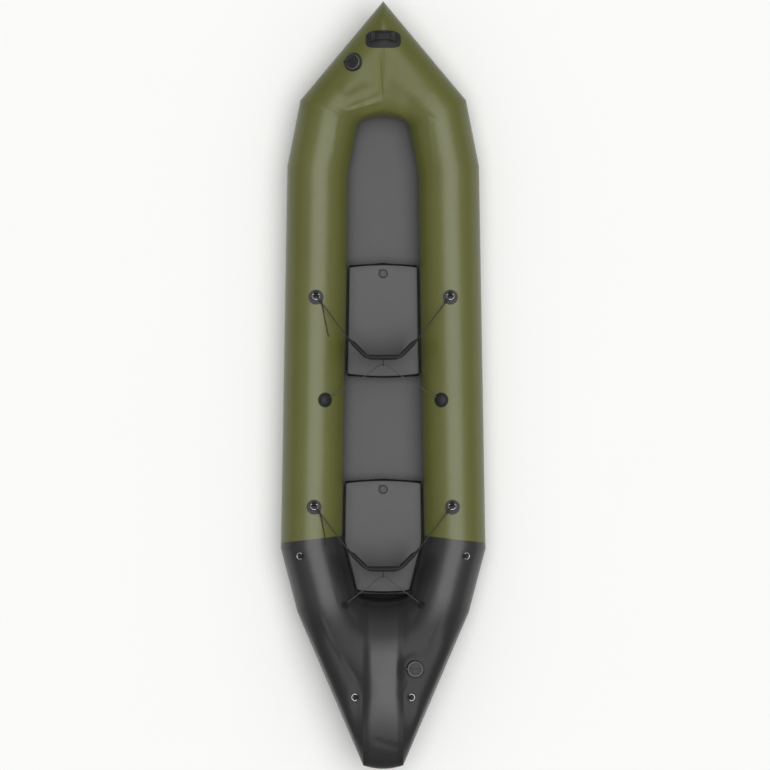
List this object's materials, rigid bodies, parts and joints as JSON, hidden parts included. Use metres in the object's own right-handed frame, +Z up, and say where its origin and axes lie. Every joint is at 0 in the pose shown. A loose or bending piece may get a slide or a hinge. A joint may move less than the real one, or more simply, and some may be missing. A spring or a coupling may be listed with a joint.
{
  "type": "packraft",
  "caption": "Inflatable two-seat packraft: pointed bow, black stern, floor mat, padded seats with strapped backrests, valves, lashing rings and a bow handle.",
  "frame": {"origin": "on the ground, under the middle of the hull's length and beam", "axes": "+Y towards the bow, +X to starboard, +Z up"},
  "size_m": [0.96, 3.5996, 0.4259],
  "materials": {
    "green_fabric": "coated, satin",
    "black_fabric": "coated, satin",
    "floor_fabric": "coated, matt",
    "grey_fabric": "coated, matt",
    "backrest_fabric": "woven, matt",
    "grey_patch": "coated, matt",
    "black_rubber": "moulded, satin",
    "black_plastic": "moulded, satin",
    "grey_plastic": "moulded, matt",
    "cord": "braided",
    "steel": "polished stainless"
  },
  "bodies": {
    "hull": {"bow_port": "green_fabric", "bow_starboard": "green_fabric", "bow_valve_body": "black_plastic", "bow_valve_pad": "black_rubber", "bow_valve_spring": "steel", "cord_front_port_patch": "grey_patch", "cord_front_starboard_patch": "grey_patch", "cord_rear_port_patch": "grey_patch", "cord_rear_starboard_patch": "grey_patch", "floor_mat": "grey_fabric", "floor_sheet": "floor_fabric", "front_back_cord": "cord", "front_seat": "grey_fabric", "front_seat_valve_body": "black_rubber", "front_side_cord_port": "cord", "front_side_cord_starboard": "cord", "handle_grip": "black_rubber", "handle_pad": "black_rubber", "quarter_port": "black_fabric", "quarter_starboard": "black_fabric", "quarter_tie_port_patch": "black_rubber", "quarter_tie_starboard_patch": "black_rubber", "rear_back_cord": "cord", "rear_seat": "grey_fabric", "rear_seat_valve_body": "black_rubber", "rear_side_cord_port": "cord", "rear_side_cord_starboard": "cord", "shoulder_port": "green_fabric", "shoulder_starboard": "green_fabric", "side_port": "green_fabric", "side_starboard": "green_fabric", "stern_strip": "black_fabric", "stern_valve_body": "black_plastic", "stern_valve_pad": "black_rubber", "stern_valve_spring": "steel", "tail_port": "black_fabric", "tail_starboard": "black_fabric", "tail_tie_port_patch": "black_rubber", "tail_tie_starboard_patch": "black_rubber", "tie_dome_port": "black_rubber", "tie_dome_starboard": "black_rubber", "tie_tab_port": "black_rubber", "tie_tab_starboard": "black_rubber"},
    "front_backrest": {"front_backrest": "backrest_fabric"},
    "rear_backrest": {"rear_backrest": "backrest_fabric"},
    "cord_front_port_ring": {"cord_front_port_ring": "steel"},
    "cord_front_starboard_ring": {"cord_front_starboard_ring": "steel"},
    "cord_rear_port_ring": {"cord_rear_port_ring": "steel"},
    "cord_rear_starboard_ring": {"cord_rear_starboard_ring": "steel"},
    "quarter_tie_port_ring": {"quarter_tie_port_ring": "steel"},
    "quarter_tie_starboard_ring": {"quarter_tie_starboard_ring": "steel"},
    "tail_tie_port_ring": {"tail_tie_port_ring": "steel"},
    "tail_tie_starboard_ring": {"tail_tie_starboard_ring": "steel"},
    "bow_valve_cap": {"bow_valve_cap": "black_plastic"},
    "stern_valve_cap": {"stern_valve_cap": "black_plastic"},
    "bow_valve_plunger": {"bow_valve_plunger": "grey_plastic"},
    "stern_valve_plunger": {"stern_valve_plunger": "grey_plastic"},
    "front_seat_valve_plug": {"front_seat_valve_plug": "black_plastic"},
    "rear_seat_valve_plug": {"rear_seat_valve_plug": "black_plastic"}
  },
  "joints": [
    {"name": "front_backrest_turn", "type": "hinge", "parent": "hull", "child": "front_backrest", "pos_m": [0, 0.13, 0.1654], "axis": [-1, 0, 0], "range_deg": [-12, 45], "deforming": ["front_side_cord_port", "front_side_cord_starboard", "front_back_cord"]},
    {"name": "rear_backrest_turn", "type": "hinge", "parent": "hull", "child": "rear_backrest", "pos_m": [0, -0.862, 0.16622], "axis": [-1, 0, 0], "range_deg": [-12, 45], "deforming": ["rear_side_cord_port", "rear_side_cord_starboard", "rear_back_cord"]},
    {"name": "cord_front_port_ring_turn", "type": "hinge", "parent": "hull", "child": "cord_front_port_ring", "pos_m": [-0.31483, 0.4252, 0.29707], "axis": [-1, 0, 0.008], "range_deg": [-15, 40]},
    {"name": "cord_front_starboard_ring_turn", "type": "hinge", "parent": "hull", "child": "cord_front_starboard_ring", "pos_m": [0.31483, 0.4252, 0.29707], "axis": [-1, 0, -0.008], "range_deg": [-15, 40]},
    {"name": "cord_rear_port_ring_turn", "type": "hinge", "parent": "hull", "child": "cord_rear_port_ring", "pos_m": [-0.32364, -0.5594, 0.29681], "axis": [-0.9981, 0, 0.0623], "range_deg": [-15, 40]},
    {"name": "cord_rear_starboard_ring_turn", "type": "hinge", "parent": "hull", "child": "cord_rear_starboard_ring", "pos_m": [0.32364, -0.5594, 0.29681], "axis": [-0.9981, 0, -0.0623], "range_deg": [-15, 40]},
    {"name": "quarter_tie_port_ring_turn", "type": "hinge", "parent": "hull", "child": "quarter_tie_port_ring", "pos_m": [-0.38406, -0.80221, 0.28528], "axis": [0, 0.9929, 0.1189], "range_deg": [0, 150]},
    {"name": "quarter_tie_starboard_ring_turn", "type": "hinge", "parent": "hull", "child": "quarter_tie_starboard_ring", "pos_m": [0.38406, -0.80221, 0.28528], "axis": [0, -0.9929, -0.1189], "range_deg": [0, 150]},
    {"name": "tail_tie_port_ring_turn", "type": "hinge", "parent": "hull", "child": "tail_tie_port_ring", "pos_m": [-0.12521, -1.46366, 0.33549], "axis": [0, 0.9996, 0.028], "range_deg": [0, 150]},
    {"name": "tail_tie_starboard_ring_turn", "type": "hinge", "parent": "hull", "child": "tail_tie_starboard_ring", "pos_m": [0.12521, -1.46366, 0.33549], "axis": [0, -0.9996, -0.028], "range_deg": [0, 150]},
    {"name": "bow_valve_cap_turn", "type": "hinge", "parent": "hull", "child": "bow_valve_cap", "pos_m": [-0.1416, 1.5138, 0.30944], "axis": [-0.3821, 0.1877, 0.9049], "range_deg": [0, 300]},
    {"name": "stern_valve_cap_turn", "type": "hinge", "parent": "hull", "child": "stern_valve_cap", "pos_m": [0.14976, -1.332, 0.32009], "axis": [0.1038, 0.0582, 0.9929], "range_deg": [0, 300]},
    {"name": "bow_valve_plunger_slide", "type": "slide", "parent": "hull", "child": "bow_valve_plunger", "axis": [0.3821, -0.1877, -0.9049], "range_m": [0, 0.006], "stiffness_N_per_m": 200, "springref_m": -0.004, "deforming": ["bow_valve_spring"]},
    {"name": "stern_valve_plunger_slide", "type": "slide", "parent": "hull", "child": "stern_valve_plunger", "axis": [-0.1038, -0.0582, -0.9929], "range_m": [0, 0.006], "stiffness_N_per_m": 200, "springref_m": -0.004, "deforming": ["stern_valve_spring"]},
    {"name": "front_seat_valve_plug_slide", "type": "slide", "parent": "hull", "child": "front_seat_valve_plug", "axis": [-0.0001, 0.0773, 0.997], "range_m": [0, 0.012]},
    {"name": "rear_seat_valve_plug_slide", "type": "slide", "parent": "hull", "child": "rear_seat_valve_plug", "axis": [-0.0001, 0.0771, 0.997], "range_m": [0, 0.012]}
  ]
}
